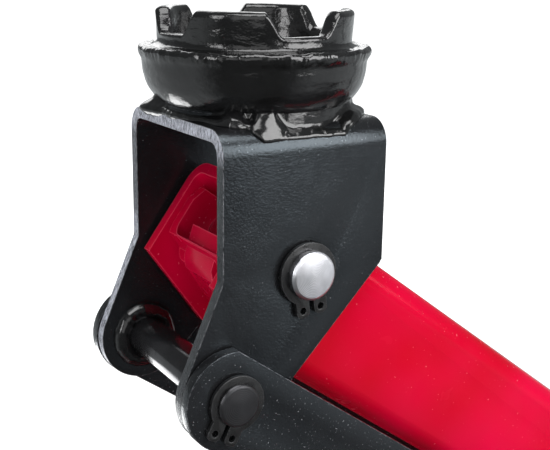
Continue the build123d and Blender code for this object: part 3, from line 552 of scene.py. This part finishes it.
def saddle_outline(lift):
    """Half section of the saddle; lift is 1 on a lug and 0 in a gap.

    Each corner is its radius, its height above the upper pin and its rounding, in mm.
    """
    stem, foot = SADDLE_TOP - 42.8, SADDLE_TOP - 7.4
    crest = foot + (SADDLE_TOP - foot) * lift
    return [
        (0.0, stem, 0), (12, stem, 0.6), (12, 47.8, 0.4), (21, 47.8, 2.5), (26.5, 48.9, 3.0),
        (31.7, 51.2, 3.5), (35.2, 55.6, 3.5), (36.6, 61.0, 2.5), (36.8, 64.6, 1.2), (37.8, 66.0, 1.0),
        (38.1, 68.0, 1.0), (36.9, 69.3, 1.2), (34.0, 68.7, 1.6), (31.6, 69.6, 1.8),
        (31.3 + 0.5 * lift, foot - 1.2, 0.8), (32.2 - 0.6 * (1 - lift), crest - 0.9, 1.0),
        (30.6, crest, 1.4), (28.2, crest - 0.1, 1.2), (27.1, crest - 1.2, 1.2),
        (26.4, foot - 1.8, 0.8), (26.0, 69, 2.0), (23.6, SEAT, 2.2), (0.0, SEAT, 0),
    ]


def saddle_push(spot, axis):
    """How far the rough forging stands out at a point, in mm.

    The dish's outer wall is hammered in bands, and its rolled rim is lumpy.
    """
    height = (spot.z - HEAD.z) / MM
    radius = (spot.xy - axis.xy).length / MM
    outside = step(height, 48.0, 50.0) * step(radius, 24.0, 27.0)
    rim = step(height, 64.8, 66.0) * (1 - step(height, 69.4, 70.6)) * step(radius, 33.5, 35.5)
    banded = Vector((spot.x * 0.35, spot.y * 0.35, spot.z))
    push = 0.13 * lumps(banded, 5) * outside
    push += (0.34 * lumps(spot, 3.2, 4, 4.0) + 0.22 * lumps(spot, 9, 2, 9.0) - 0.15) * rim
    return push


def forged_saddle():
    """Dish with a rough rolled rim and a crown of four lugs, turned and then roughened."""
    axis = Vector(((SADDLE_LOW.x + SADDLE_HIGH.x) / 2, 0, HEAD.z))
    outlines = [resample_even(fillet_path(saddle_outline(i / LIFTS)), RINGS) for i in range(LIFTS + 1)]
    verts = []
    for k in range(SPOKES):
        angle = 2 * math.pi * k / SPOKES
        off = abs(math.degrees((angle - LUG_TURN + math.pi / 4) % (math.pi / 2) - math.pi / 4))
        off += 0.9 * noise.noise(Vector((math.cos(angle), math.sin(angle), 0)) * 3.0)
        lift = 1.0 - step(off, LUG_HALF - LUG_SLOPE, LUG_HALF + LUG_SLOPE)
        for p in outlines[round(lift * LIFTS)]:
            verts.append(axis + Vector((p.x * math.cos(angle), p.x * math.sin(angle), p.y)) * MM)
    faces = grid_faces(SPOKES, RINGS, wrap_columns=False)
    saddle = build("forged_saddle", verts, faces, GLOSS, None)
    mesh = bmesh.new()
    mesh.from_mesh(saddle.data)
    bmesh.ops.remove_doubles(mesh, verts=mesh.verts, dist=1e-6)
    bmesh.ops.recalc_face_normals(mesh, faces=mesh.faces)
    mesh.normal_update()
    for v in mesh.verts:
        v.co += v.normal * saddle_push(v.co, axis) * MM
    mesh.to_mesh(saddle.data)
    mesh.free()
    saddle.data.shade_smooth()
    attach(saddle, "saddle")
    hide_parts("saddle")


forged_saddle()


# ---- weld beads -----------------------------------------------------------------------------
def round_bead(name, middle, radius_mm, half_mm, body, material, rough_mm=0.28):
    """Weld bead round a tube or shaft that lies left to right.

    Its surface carries the overlapping ripples that a weld pool leaves, and small lumps.
    """
    axis = Vector((0, 1, 0))
    side = axis.orthogonal().normalized()
    other = axis.cross(side)
    count, sides, ripple_mm = max(48, int(radius_mm * 9)), 20, 2.6
    chord = 2 * radius_mm * math.sin(math.pi / count)
    verts = []
    for i in range(count):
        turn = 2 * math.pi * i / count
        out = side * math.cos(turn) + other * math.sin(turn)
        heart = middle + out * radius_mm * MM
        ripple = 0.16 * abs(math.sin(math.pi * i * chord / ripple_mm)) - 0.08
        for k in range(sides):
            around = 2 * math.pi * k / sides
            away = out * math.cos(around) + axis * math.sin(around)
            spot = heart + away * half_mm * MM
            verts.append(spot + away * (ripple + rough_mm * lumps(spot, 4.0 + 6.0 * rough_mm)) * MM)
    tidy_normals(build(name, verts, grid_faces(count, sides), material, body))


def tube_welds(node, body):
    """Red bead round each end of a tube that stands between two plates."""
    low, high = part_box(node)
    middle = (low + high) / 2
    radius_mm = (high.z - low.z) / 2 / MM + 0.6
    for label, y in (("left", high.y), ("right", low.y)):
        end = Vector((middle.x, y, middle.z))
        round_bead(f"{node}_weld_{label}", end, radius_mm, 2.4, body, RED)


def bump_at(value, middle, width):
    """Bell curve of height 1."""
    return math.exp(-(((value - middle) / width) ** 2))


BEND = 8.0  # outside radius of the bracket's bends, in mm


def boss_section(turn, half, top, collar):
    """Height of the bracket beside the boss weld, and the weld's section, at an angle from +X to +Y.

    half is the bracket's half width, top its height above the upper pin and collar the boss's
    radius, all in mm. Two large blobs with a crater between them stand at the left front, where the
    welder stopped and started again, and a flare reaches the right front corner.
    """
    degrees = math.degrees(turn)
    across = abs(math.sin(turn))
    side = step(degrees, 25, 50) * (1 - step(degrees, 150, 185)) + 0.5 * bump_at(degrees, 270, 50)
    blob = 0.8 * bump_at(degrees, 49, 4.5) + 1.1 * bump_at(degrees, 67, 8.0)
    blob += 0.8 * bump_at(degrees, 248, 14)
    crater = bump_at(degrees, 57, 3.0)
    wide = bump_at(degrees, 150, 24)
    flare = bump_at(degrees, 325, 13)
    wall = collar - 1.0 + 2.1 * side + 2.2 * wide + 4.8 * flare
    widest = (half - 1.0) / max(0.1, across)
    toe = min(wall + 1.8 + 3.0 * side - 1.5 * wide + 0.5 * blob - 1.2 * crater + 2.6 * flare, widest)
    over = max(0.0, across * toe - (half - BEND))
    plate = top - BEND + math.sqrt(max(0.0, BEND**2 - over**2))
    crest = top + 4.6 + 0.6 * side
    swell = 1.9 + 0.6 * side + 6.5 * blob - 1.6 * crater  # how far the bead stands above the plate
    brim = crest + 0.4 + 0.40 * max(0.0, wall - collar)  # follows the saddle's rising underside
    crown = min(plate + swell + 2.5 * flare, crest - 0.8)
    section = [
        (collar - 7.0, crest + 0.4, 0), (min(collar, wall) - 1.5, crest + 0.4, 0.5),
        (wall - 0.6, brim, 0.5), (wall - 0.2, crown + 0.9, 0.8),
        (wall + 0.5 + 1.2 * blob - 1.2 * crater, crown, 0.6), (toe - 0.6, plate + 1.3 + swell * 0.2, 0.8),
        (toe + 0.2 + 0.5 * side, plate + 0.2, 0.6), (toe - 1.5, plate - 1.6, 0),
        (collar - 7.0, plate - 1.6, 0),
    ]
    return plate, section


def boss_weld():
    """Heavy bead that joins the saddle's collar to the bracket and runs down over its bent edges."""
    low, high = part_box("saddle_bracket")
    half = (high.y - low.y) / 2 / MM
    top = (high.z - HEAD.z) / MM
    collar = (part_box("saddle_boss")[1].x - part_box("saddle_boss")[0].x) / 2 / MM
    middle = Vector((HEAD.x, 0, HEAD.z))
    count, sides, ripple_mm = 540, 44, 4.0
    verts = []
    for i in range(count):
        turn = 2 * math.pi * i / count
        out = Vector((math.cos(turn), math.sin(turn), 0))
        plate, section = boss_section(turn, half, top, collar)
        ripple = 0.12 * abs(math.sin(turn * collar / ripple_mm * math.pi)) - 0.06
        for p in resample_even(fillet_path(section), sides):
            spot = middle + (out * p.x + Vector((0, 0, p.y))) * MM
            low_down = 1 - step(p.y - plate, 1.5, 4.0)
            rough = 0.50 * lumps(spot, 6.0, 2) + 0.10 * lumps(spot, 1.8, 2, 3.0) + ripple
            rough *= 0.25 + 0.75 * low_down
            verts.append(spot + out * rough * MM)
    tidy_normals(build("boss_weld", verts, grid_faces(count, sides), WELD, "head"))


WELD = gloss_black("weld_black", 5.0, 0.22)
boss_weld()
# the lower pin is welded to the inner faces of the bracket's side plates
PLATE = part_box("link_bar_left")[1].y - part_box("link_bar_left")[0].y
INNER_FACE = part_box("saddle_bracket")[1].y - PLATE
PIN_RADIUS = (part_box("lower_pin")[1].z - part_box("lower_pin")[0].z) / 2
for label, y in (("left", INNER_FACE), ("right", -INNER_FACE)):
    at = Vector((LOWER_PIN.x, y, LOWER_PIN.z))
    around = PIN_RADIUS / MM + 1.6
    round_bead(f"pin_weld_{label}", at, around, 3.4, "head", WELD, 0.75)
tube_welds("front_cross_tube", "chassis")
tube_welds("arm_pivot_tube", "arm")


# ---- springs --------------------------------------------------------------------------------
def wire(name, points, radius, material, sides=10):
    """Round wire through a list of points, its section carried along without twisting."""
    verts = []
    normal = (points[1] - points[0]).normalized().orthogonal().normalized()
    for i, p in enumerate(points):
        ahead = (points[min(i + 1, len(points) - 1)] - points[max(i - 1, 0)]).normalized()
        normal = (normal - ahead * normal.dot(ahead)).normalized()
        other = ahead.cross(normal)
        for k in range(sides):
            turn = 2 * math.pi * k / sides
            verts.append(p + (normal * math.cos(turn) + other * math.sin(turn)) * radius)
    count = len(points)
    faces = grid_faces(count, sides, wrap_rows=False)
    faces.append(tuple(range(sides)))
    faces.append(tuple((count - 1) * sides + k for k in reversed(range(sides))))
    return build(name, verts, faces, material, None)


def coil(start, end, radius, turns, per_turn=20):
    """Helix about the line from start to end, which runs along X."""
    points = []
    count = int(turns * per_turn)
    for i in range(count + 1):
        turn = 2 * math.pi * i / per_turn
        middle = start.lerp(end, i / count)
        points.append(middle + Vector((0, math.cos(turn), math.sin(turn))) * radius)
    return points


def return_springs():
    """Pair of extension springs with hooked ends, from the frame's anchors to the ram's cross bar."""
    low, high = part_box("return_springs")
    radius = (high.z - low.z) / 2
    wire_radius = 0.95 * MM
    anchor, bar = centre("spring_anchors"), centre("spring_bar")
    eye = 4.0 * MM + wire_radius
    straight = 6 * MM  # plain wire between a hook and its coil
    for label, y in (("left", high.y - radius), ("right", low.y + radius)):
        back = Vector((anchor.x, y, anchor.z))
        front = Vector((bar.x, y, bar.z))
        start = back + Vector((eye + straight, 0, 0))
        end = front - Vector((eye + straight, 0, 0))
        winding = radius - wire_radius
        body = coil(start, end, winding, 34)
        turns = [math.radians(degrees) for degrees in range(-200, 61, 12)]
        hook = [back + Vector((math.cos(t), 0, math.sin(t))) * eye for t in turns]
        tail = [front - Vector((math.cos(t), 0, math.sin(t))) * eye for t in reversed(turns)]
        spring = wire(f"return_spring_{label}", hook + body + tail, wire_radius, SPRING)
        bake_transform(spring)
        if label == "left":
            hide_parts("return_springs")


def plunger_spring():
    """Compression spring between the plunger's head and its gland."""
    low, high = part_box("plunger_spring")
    middle = (low + high) / 2
    wire_radius = 0.85 * MM
    winding = (high.z - low.z) / 2 - wire_radius
    start = Vector((low.x + wire_radius, middle.y, middle.z))
    end = Vector((high.x - wire_radius, middle.y, middle.z))
    spring = wire("plunger_coil", coil(start, end, winding, 4.5, 32), wire_radius, SPRING)
    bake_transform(spring)
    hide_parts("plunger_spring")


return_springs()
plunger_spring()


# ---- grip -----------------------------------------------------------------------------------
def lathe(name, path, origin, axis, spokes, material, body):
    """Turns a closed path of (distance along, radius) about an axis."""
    axis = Vector(axis).normalized()
    side = axis.orthogonal().normalized()
    other = axis.cross(side)
    verts = []
    for i in range(spokes):
        turn = 2 * math.pi * i / spokes
        out = side * math.cos(turn) + other * math.sin(turn)
        verts += [origin + axis * p.x + out * p.y for p in path]
    return build(name, verts, grid_faces(spokes, len(path)), material, body)


def ribbed_grip():
    """Foam rubber grip with finger rings and a rounded end, round the upper handle tube."""
    low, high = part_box("handle_grip")
    outer = (high.y - low.y) / 2
    inner = outer - 4 * MM
    groove = outer - 1.5 * MM
    lean = outer * math.hypot(HANDLE_AXIS.x, HANDLE_AXIS.y)
    begin = (low.z - SOCKET.z + lean) / HANDLE_AXIS.z
    end = (high.z - SOCKET.z - lean) / HANDLE_AXIS.z
    corners = [(begin, inner, 0), (begin, outer - 1.5 * MM, 1.2 * MM), (begin + 4 * MM, outer, 1.5 * MM)]
    rings = 17
    pitch = (end - begin - 22 * MM) / rings
    for i in range(rings):
        at = begin + 8 * MM + i * pitch
        corners += [
            (at, outer, 0.8 * MM), (at + 0.9 * MM, groove, 0.8 * MM),
            (at + 2.3 * MM, groove, 0.8 * MM), (at + 3.2 * MM, outer, 0.8 * MM),
        ]
    corners += [
        (end - 8 * MM, outer, 2 * MM), (end - 1.5 * MM, outer - 2 * MM, 3 * MM),
        (end, outer - 7 * MM, 2 * MM),
        (end, 2 * MM, 0), (end - 6 * MM, 2 * MM, 0), (end - 6 * MM, inner, 0),
    ]
    path = fillet_path(corners, 4)
    grip = lathe("ribbed_grip", path, SOCKET, HANDLE_AXIS, 72, RUBBER, "handle")
    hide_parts("handle_grip")


ribbed_grip()


# ---- studio ---------------------------------------------------------------------------------
def studio():
    """Pale floor, and a world that is white to the camera and dim in reflections."""
    floor = bpy.data.meshes.new("floor")
    size = 9.0
    corners = [(-size, -size, 0), (size, -size, 0), (size, size, 0), (-size, size, 0)]
    floor.from_pydata(corners, [], [(0, 1, 2, 3)])
    ground = bpy.data.objects.new("floor", floor)
    scene.collection.objects.link(ground)
    floor.materials.append(studio_white())
    world = bpy.data.worlds.new("studio")
    scene.world = world
    world.use_nodes = True
    tree = world.node_tree
    tree.nodes.clear()
    path = tree.nodes.new("ShaderNodeLightPath")
    seen = tree.nodes.new("ShaderNodeBackground")
    felt = tree.nodes.new("ShaderNodeBackground")
    seen.inputs["Strength"].default_value = 1.0
    seen.inputs["Color"].default_value = grey(1.0)
    felt.inputs["Color"].default_value = (0.93, 0.98, 1.0, 1)
    felt.inputs["Strength"].default_value = 0.20
    both = tree.nodes.new("ShaderNodeMixShader")
    out = tree.nodes.new("ShaderNodeOutputWorld")
    tree.links.new(path.outputs["Is Camera Ray"], both.inputs[0])
    tree.links.new(felt.outputs[0], both.inputs[1])
    tree.links.new(seen.outputs[0], both.inputs[2])
    tree.links.new(both.outputs[0], out.inputs[0])


def softbox(name, place, target, width, height, power):
    """Rectangular lamp in metres and watts, turned towards its target and unseen by the camera."""
    light = bpy.data.lights.new(name, "AREA")
    light.shape = "RECTANGLE"
    light.size, light.size_y = width, height
    light.energy = power
    lamp = bpy.data.objects.new(name, light)
    lamp.visible_camera = False
    scene.collection.objects.link(lamp)
    lamp.location = place
    lamp.rotation_euler = (Vector(target) - Vector(place)).to_track_quat("-Z", "Y").to_euler()


def camera():
    """Camera at the photograph's viewing angle, close to the raised saddle."""
    data = bpy.data.cameras.new("camera")
    cam = bpy.data.objects.new("camera", data)
    scene.collection.objects.link(cam)
    data.sensor_width = SENSOR_MM
    data.lens = CAMERA_LENS_MM
    data.clip_start = 0.01
    data.clip_end = 100
    cam.location = CAMERA_AT
    right = CAMERA_FORWARD.cross(CAMERA_UP).normalized()
    up = right.cross(CAMERA_FORWARD).normalized()
    cam.rotation_mode = "QUATERNION"
    turn = Matrix((right, up, -CAMERA_FORWARD)).transposed()
    cam.rotation_quaternion = turn.to_quaternion()
    scene.camera = cam


studio()
softbox("overhead", HEAD + Vector((0.0, 0.35, 1.3)), HEAD, 1.2, 0.8, 15)
softbox("near_side", HEAD + Vector((-0.62, 1.05, 0.52)), HEAD, 1.0, 0.85, 18)
softbox("horizon", HEAD + Vector((-0.46, 1.20, 0.02)), HEAD, 0.5, 0.12, 0.8)
softbox("left_strip", HEAD + Vector((1.2, 0.35, 0.45)), HEAD, 0.25, 0.9, 4)
softbox("front_fill", HEAD + Vector((0.9, 1.3, 0.5)), HEAD, 1.2, 1.2, 4)
softbox("back_fill", HEAD + Vector((-0.5, -1.4, 0.8)), HEAD, 1.3, 1.2, 10)
softbox("table_glow", LOWER_PIN + Vector((0.05, -0.32, -0.205)), LOWER_PIN, 0.22, 0.10, 0.3)
camera()
scene.view_settings.view_transform = "Standard"
